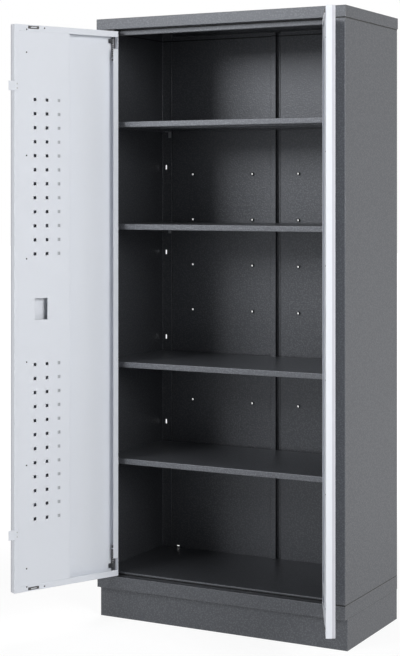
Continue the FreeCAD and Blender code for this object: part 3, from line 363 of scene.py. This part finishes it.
# %% Place of the hem
OPEN = math.radians(115)
right_inside = Vector((-math.sin(OPEN), math.cos(OPEN), 0))
left_inside = Vector((math.sin(OPEN), math.cos(OPEN), 0))
skin_corners = frame["nodes"]["right_door_skin"].data.vertices
outer_face = min(corner.co.dot(right_inside) for corner in skin_corners)
HEM, HEM_STEP = 0.0095, 0.0004
print("outer face of the doors", round(outer_face, 4))


def painted_hem_shade(coat, place):
    """1 on the hem at the free edge of either door, where the colour gets painted shade; both doors
    open by the same angle.
    """
    spot = coat.node("VectorMath", {"operation": "ABSOLUTE"}, {0: place})
    depth = coat.axis(spot, "X") * right_inside.x - coat.axis(spot, "Y") * right_inside.y - outer_face
    normal = coat.facing()
    lean = coat.maths("ABSOLUTE", coat.axis(normal, "X")) * -right_inside.y
    along = lean + coat.axis(normal, "Y") * right_inside.x
    return (1 - coat.ramp(depth, HEM - HEM_STEP, HEM)) * coat.ramp(along, 0.9, 0.95)


# %% Powder coat
PEEL, SPECK, WIPE, POWDER_CLOUD = 0.0022, 0.0028, 0.03, 0.5
POWDER_FOLD = 0.0012


def powder_coat(name, tone):
    """The powder in a given tone, from the sizes of its peel, specks, wiping and clouds."""
    material, coat = new_finish(name)
    place = coat.place()
    peel = coat.noise(place, PEEL, 2.0)
    cloud = coat.noise(place, POWDER_CLOUD, 2.0)
    wiped = coat.noise(place, WIPE, 3.0, (1, 1, 0.08))
    specks = coat.ramp(coat.noise(place, SPECK, 0.0), 0.72, 0.76)
    rounded = coat.soft_edge(POWDER_FOLD)
    edge = coat.edge_mask(rounded, 2.0)
    body = coat.colour(cloud * 0.35 + peel * 0.15, grey(tone * 1.02, -0.035, 0.06),
                       grey(tone * 0.95, -0.03, 0.07))
    dusty = coat.colour(specks * 0.06, body, grey(tone * 0.72, -0.03, 0.05))
    # Along the folds the colour is painted a little brighter: a faint painted highlight.
    bright = coat.colour(edge * 0.35, dusty, grey(min(tone * 1.1, 0.86), -0.02, 0.04))
    # On the hem at the free edge the colour is painted greyer: painted shade of the step.
    finished_colour = coat.colour(painted_hem_shade(coat, place), bright, grey(tone * 0.74, 0.0, 0.08))
    relief = coat.node("Bump", {},
                       {"Strength": 0.16, "Distance": 0.0004, "Height": peel, "Normal": rounded})
    coat.surface(Base_Color=finished_colour, Roughness=0.46 + wiped * 0.16 - edge * 0.05,
                 Specular_IOR_Level=0.35, Normal=relief)
    return material


door_coat = powder_coat("powder_coat_doors", 0.79)
# The stiffeners get a darker copy of the coat: painted shade for their place behind the punched panel.
painted_shade_door_coat = powder_coat("powder_coat_painted_shade", 0.5)
print(door_coat.name, painted_shade_door_coat.name)

# %% [markdown]
# ## Bare metals
#
# Clips, rods and the cam are zinc plated, the hinge pins and most rivets are blackened steel, the
# rivets of the overlap tabs are aluminium and the lock is chromed. One recipe serves them all: a
# metal whose colour and gloss change a little from patch to patch, with fine drawn lines along one
# direction.


# %% Metal
def metal(name, colour, roughness, patch, lines, depth):
    """Metal with patches of the given size and drawn lines along Z."""
    material, bare = new_finish(name)
    place = bare.place()
    spots = bare.cells(place, patch, 0.15)
    drawn = bare.noise(place, lines, 2.0, (1, 1, 0.05))
    rounded = bare.soft_edge(0.0005)
    edge = bare.edge_mask(rounded, 2.0)
    dark = tuple(part * 0.72 for part in colour[:3]) + (1,)
    pale = tuple(min(part * 1.25, 0.95) for part in colour[:3]) + (1,)
    body = bare.colour(spots * 0.6 + drawn * 0.3, colour, dark)
    finished_colour = bare.colour(edge * 0.6, body, pale)
    relief = bare.node("Bump", {}, {"Strength": 0.25, "Distance": depth, "Height": drawn + spots * 0.4,
                                    "Normal": rounded})
    bare.surface(Base_Color=finished_colour, Metallic=1.0, Roughness=roughness + drawn * 0.14 - edge * 0.06,
                 Normal=relief)
    return material


zinc = metal("zinc_plate", grey(0.56, -0.02, 0.05), 0.30, 0.004, 0.0008, 0.0001)
pin_steel = metal("blackened_steel", grey(0.10, -0.03, 0.05), 0.34, 0.003, 0.0006, 0.0001)
spring_steel = metal("spring_wire", grey(0.5, 0.0, 0.03), 0.28, 0.003, 0.0005, 0.00005)
aluminium = metal("rivet_aluminium", grey(0.62, 0.0, 0.02), 0.34, 0.0012, 0.0005, 0.00005)
rivet_steel = metal("rivet_steel", grey(0.07, 0.0, 0.05), 0.42, 0.0012, 0.0005, 0.00005)
chrome = metal("lock_chrome", grey(0.72, -0.02, 0.03), 0.12, 0.006, 0.002, 0.00002)
print([material.name for material in (zinc, pin_steel, spring_steel, aluminium, rivet_steel, chrome)])

# %% [markdown]
# ## Moulded grip and magnets
#
# The recessed handle is black moulded plastic with a fine spark-eroded grain, polished a little
# where fingers reach in. The catches are a grey ferrite magnet in a plastic case, matt and
# slightly porous. The hinge pins turn in dark, smooth acetal bushes.


# %% Plastic and ferrite
def grained(name, colour, roughness, grain, depth):
    """A moulded or pressed surface with a fine grain."""
    material, skin = new_finish(name)
    place = skin.place()
    fine = skin.noise(place, grain, 3.0)
    rubbed = skin.noise(place, 0.02, 2.0)
    rounded = skin.soft_edge(0.0009)
    edge = skin.edge_mask(rounded, 2.0)
    pale = tuple(min(part * 1.8 + 0.01, 0.9) for part in colour[:3]) + (1,)
    body = skin.colour(fine * 0.25 + edge * 0.4, colour, pale)
    relief = skin.node("Bump", {},
                       {"Strength": 0.4, "Distance": depth, "Height": fine, "Normal": rounded})
    skin.surface(Base_Color=body, Roughness=roughness + rubbed * 0.16 - edge * 0.08, Normal=relief)
    return material


grip_plastic = grained("grip_plastic", grey(0.022, 0, 0.05), 0.42, 0.0007, 0.00015)
ferrite = grained("ferrite_magnet", grey(0.075, 0.03, 0), 0.55, 0.0009, 0.0001)
bush_plastic = grained("bush_acetal", grey(0.045, 0, 0.05), 0.34, 0.0012, 0.00005)
print(grip_plastic.name, ferrite.name, bush_plastic.name)

# %% [markdown]
# ## Finishes onto the solids
#
# The record of the part already says which finish group each solid belongs to. Each group gets
# its material here, so a solid that is added later is dressed as well.

# %% Dress the solids
FINISHES = {
    "carcass_coat": carcass_coat,
    "shelf_coat": shelf_coat,
    "door_coat": door_coat,
    "zinc": zinc,
    "rivet": aluminium,
    "pin_steel": pin_steel,
    "magnet": ferrite,
    "bush": bush_plastic,
    "cup": grip_plastic,
    "lock": chrome,
}
# The stiffeners get the darker copy of the door coat, as painted shade.
STIFFENERS_IN_PAINTED_SHADE = ("left_door_stiffener", "right_door_stiffener")
for part in frame["record"]["subparts"]:
    with_painted_light = part["node"] in STIFFENERS_IN_PAINTED_SHADE
    for holder in frame["nodes"][part["node"]].material_slots:
        holder.material = painted_shade_door_coat if with_painted_light else FINISHES[part["material_slot"]]

# %% [markdown]
# ## Rivets
#
# A blind rivet shows a low dome with a small dimple where its stem broke off. The CAD heads are
# flat discs with few sides, so each is replaced by a turned profile: the dome falls away towards
# a thin rim, and the dimple is a short step down in the middle. The place and the size of each
# head are read from its disc, along the facing given for its sheet, so they follow the part's sizes.


# %% Find the discs
SAME_CORNER = 1e-6


def pieces_of(node):
    """Corner points of each separate lump of a solid's mesh."""
    shells = bmesh.new()
    shells.from_mesh(frame["nodes"][node].data)
    bmesh.ops.remove_doubles(shells, verts=shells.verts, dist=SAME_CORNER)
    waiting = set(shells.verts)
    lumps = []
    for start in shells.verts:
        if start not in waiting:
            continue
        waiting.remove(start)
        rim = [start]
        lump = []
        while rim:
            corner = rim.pop()
            lump.append(corner.co.copy())
            for side in corner.link_edges:
                other = side.other_vert(corner)
                if other in waiting:
                    waiting.remove(other)
                    rim.append(other)
        lumps.append(lump)
    shells.free()
    return lumps


def link_mesh(name, shells, material):
    """An object from a bmesh, smooth-shaded."""
    mesh = bpy.data.meshes.new(name)
    for face in shells.faces:
        face.smooth = True
    shells.to_mesh(mesh)
    shells.free()
    mesh.materials.append(material)
    piece = bpy.data.objects.new(name, mesh)
    bpy.context.scene.collection.objects.link(piece)
    return piece


# %% Turn the domes
RIVET_PROFILE = [(0.0, 0.62), (0.16, 0.62), (0.24, 0.98), (0.45, 0.94), (0.72, 0.74), (0.92, 0.38),
                 (1.0, 0.10), (1.0, 0.0)]
ROUND = 20


def dome(shells, seat, facing, radius, height):
    """A turned head: the profile goes from the middle of the dome to its rim."""
    turn = facing.to_track_quat("Z", "Y").to_matrix()
    rings = []
    for out, up in RIVET_PROFILE:
        steps = 1 if out == 0 else ROUND
        rings.append([shells.verts.new(seat + turn @ Vector((
            out * radius * math.cos(math.tau * step / ROUND),
            out * radius * math.sin(math.tau * step / ROUND),
            up * height))) for step in range(steps)])
    for inner, outer in zip(rings, rings[1:]):
        for step in range(ROUND):
            after = (step + 1) % ROUND
            near = [inner[0]] if len(inner) == 1 else [inner[step], inner[after]]
            shells.faces.new(near[:1] + [outer[step], outer[after]] + near[1:])
    shells.faces.new(rings[-1][::-1])


def rivets(node, body, facing, material):
    """Domed heads in the place of a node of discs."""
    shells = bmesh.new()
    for disc in pieces_of(node):
        middle = sum(disc, Vector()) / len(disc)
        spread = [corner - middle for corner in disc]
        height = 2 * max(offset.dot(facing) for offset in spread)
        radius = max((offset - facing * offset.dot(facing)).length for offset in spread)
        dome(shells, middle - facing * height / 2, facing, radius, height)
    piece = link_mesh(node + "_domed", shells, material)
    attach(piece, body)
    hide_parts(node)
    return len(piece.data.polygons)


print("faces of the rivets", [
    rivets("left_door_rivets", "left_door", left_inside, rivet_steel),
    rivets("tab_rivets", "left_door", left_inside, aluminium),
    rivets("right_door_rivets", "right_door", right_inside, rivet_steel),
    rivets("back_rivets", "carcass", Vector((0, 1, 0)), rivet_steel)])

# %% [markdown]
# ## Collars of the holes in the back
#
# The holes for hooks and the drain slots in the back panels, and the slots for wall screws in the
# rear flanges, are drawn inwards, so that each has a short sleeve that a screw can bite in and that
# no finger is cut on. The sleeve hides most of what is behind a hole from a viewer who stands to
# one side, and its round lip catches the light. Each is one closed ring: out of the sheet, over the
# lip and back down the bore. A slot's ring is pulled apart in its middle, upright or level.

# %% Collars
COLLAR_SIDES = 24


def collars(name, spots, face, wide, high, depth):
    """Closed rings round holes of one width and height, on a sheet with its inner face at a Y."""
    profile = [(0.0016, 0.0), (0.0007, 0.0007), (0.0005, depth - 0.0004), (0.0002, depth),
               (-0.0002, depth), (-0.0005, depth - 0.0004), (-0.0005, -0.0007), (0.0003, -0.0007),
               (0.0016, -0.0003)]
    shells = bmesh.new()
    for x, z in spots:
        rings = []
        for out, forward in profile:
            radius = min(wide, high) / 2 + out
            ring = []
            for step in range(COLLAR_SIDES):
                angle = math.tau * (step + 0.5) / COLLAR_SIDES
                along = math.copysign(max(wide - high, 0) / 2, math.cos(angle))
                up = math.copysign(max(high - wide, 0) / 2, math.sin(angle))
                ring.append(shells.verts.new((x + along + radius * math.cos(angle), face - forward,
                                              z + up + radius * math.sin(angle))))
            rings.append(ring)
        for first, second in zip(rings, rings[1:] + rings[:1]):
            for step in range(COLLAR_SIDES):
                after = (step + 1) % COLLAR_SIDES
                shells.faces.new([first[step], first[after], second[after], second[step]])
    bmesh.ops.recalc_face_normals(shells, faces=shells.faces)
    piece = link_mesh(name, shells, carcass_coat)
    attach(piece, "carcass")
    return len(spots)


def rows(columns, lowest, pitch, count):
    """Places of holes in columns on both sides of the middle, from the lowest row up."""
    return [(side * column, lowest + pitch * row)
            for side in (-1, 1) for column in columns for row in range(count)]


# %% Collars in their places
BACK_SHEET, CARCASS_SHEET = 0.0008, 0.0012
HOOK_HOLES = rows((0.088, 0.3225), 0.525, 0.160, 8)
WALL_SLOTS = rows((0.431,), 0.599, 0.304, 4)
DRAIN_SLOTS = rows((0.383,), 0.157, 0.0, 1)

back_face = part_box("back_panel_left")[1][1] - BACK_SHEET
flange_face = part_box("side_panel_left")[1][1] - CARCASS_SHEET
print("back", round(back_face, 4), "flange", round(flange_face, 4), "collars", [
    collars("hole_collars", HOOK_HOLES, back_face, 0.009, 0.009, 0.008),
    collars("slot_collars", WALL_SLOTS, flange_face, 0.008, 0.018, 0.005),
    collars("drain_collars", DRAIN_SLOTS, back_face, 0.012, 0.005, 0.004)])

# %% [markdown]
# ## Pole plates of the magnets
#
# Each magnetic catch has a steel plate in the middle of its face, which leads the field to the
# frame that it holds on to. It is a small bright strip in the dark ferrite. A rounded plate is let
# into each face and stands a hair proud of it, so that it, and not the brittle magnet, takes the
# knocks of the closing door.

# %% Outline of a plate
PLATE_WIDE, PLATE_HIGH, PLATE_CORNER = 0.021, 0.0036, 0.0008
CORNER_STEPS = 4

plate_outline = []
for turn, (side, up) in enumerate(((1, 1), (-1, 1), (-1, -1), (1, -1))):
    for step in range(CORNER_STEPS + 1):
        angle = math.tau * (turn + step / CORNER_STEPS) / 4
        plate_outline.append((side * (PLATE_WIDE / 2 - PLATE_CORNER) + PLATE_CORNER * math.cos(angle),
                              up * (PLATE_HIGH / 2 - PLATE_CORNER) + PLATE_CORNER * math.sin(angle)))
print("corners of a plate", len(plate_outline))

# %% Pole plates
PLATE_THICK, PLATE_PROUD, PLATE_RIM = 0.0012, 0.00015, 0.0001
PLATE_TOP = 0.97
FACE_DEPTH = 0.0002


def pole_plates(name, node, body, facing):
    """A plate in the middle of each magnet's face, which is found as the lump's foremost corners."""
    across = Vector((0, 0, 1)).cross(facing)
    levels = ((PLATE_PROUD - PLATE_THICK, 1), (PLATE_PROUD - PLATE_RIM, 1), (PLATE_PROUD, PLATE_TOP))
    shells = bmesh.new()
    for lump in pieces_of(node):
        front = max(corner.dot(facing) for corner in lump)
        face = [corner for corner in lump if corner.dot(facing) > front - FACE_DEPTH]
        middle = sum(face, Vector()) / len(face)
        rings = [[shells.verts.new(middle + across * wide * shrink + Vector((0, 0, high * shrink))
                                   + facing * depth)
                  for wide, high in plate_outline]
                 for depth, shrink in levels]
        for lower, upper in zip(rings, rings[1:]):
            for step in range(len(plate_outline)):
                after = (step + 1) % len(plate_outline)
                shells.faces.new([lower[step], lower[after], upper[after], upper[step]])
        shells.faces.new(rings[0][::-1])
        shells.faces.new(rings[-1])
    bmesh.ops.recalc_face_normals(shells, faces=shells.faces)
    piece = link_mesh(name, shells, zinc)
    for face in piece.data.polygons:
        face.use_smooth = False
    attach(piece, body)
    return len(piece.data.polygons)


print("faces of the plates", [
    pole_plates("left_pole_plates", "left_door_magnets", "left_door", left_inside),
    pole_plates("right_pole_plates", "right_door_magnets", "right_door", right_inside)])

# %% [markdown]
# ## Springs of the hinge pins
#
# A coil spring sits round each hinge pin, between the pin's collar and a bracket, and pushes the
# pin into its bush. In the CAD model it is a plain tube over the length of the coil. Here a round
# wire follows a helix inside that tube, with its last turns closed up flat as on a real
# compression spring.

# %% Wind the springs
TURNS, STEPS = 9, 24
WIRE_SIDES = 8
WIRE_SHARE = 0.1
CLOSED_END, OPEN_PART = 0.11, 0.78


def wind(name, node, body):
    """A coil in the place of a tube."""
    low, high = (Vector(corner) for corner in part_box(node))
    middle = (low + high) / 2
    outside, length = (high.x - low.x) / 2, high.z - low.z
    wire = outside * WIRE_SHARE
    reach = outside - wire
    shells = bmesh.new()
    rings = []
    count = TURNS * STEPS
    for step in range(count + 1):
        along = step / count
        climb = max(0.0, min(1.0, (along - CLOSED_END) / OPEN_PART))
        angle = math.tau * TURNS * along
        height = (climb - 0.5) * (length - 4.4 * wire) + (along - 0.5) * 2.4 * wire
        centre = middle + Vector((reach * math.cos(angle), reach * math.sin(angle), height))
        outward = Vector((math.cos(angle), math.sin(angle), 0))
        ring = []
        for side in range(WIRE_SIDES):
            angle = math.tau * side / WIRE_SIDES
            spoke = outward * math.cos(angle) + Vector((0, 0, math.sin(angle)))
            ring.append(shells.verts.new(centre + wire * spoke))
        rings.append(ring)
    for first, second in zip(rings, rings[1:]):
        for side in range(WIRE_SIDES):
            after = (side + 1) % WIRE_SIDES
            shells.faces.new([first[side], second[side], second[after], first[after]])
    shells.faces.new(rings[0])
    shells.faces.new(rings[-1][::-1])
    piece = link_mesh(name, shells, spring_steel)
    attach(piece, body)
    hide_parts(node)
    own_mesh(piece)
    return round(length * 1000, 1)


for hand in ("left", "right"):
    for end in ("upper", "lower"):
        tall = wind(f"{hand}_{end}_coil", f"{hand}_{end}_spring", f"{hand}_door")
        print("coil", hand, end, "mm", tall)

# %% [markdown]
# ## Last update
#
# The view layer is brought up to date before the file ends.

# %% Update the view layer
bpy.context.view_layer.update()
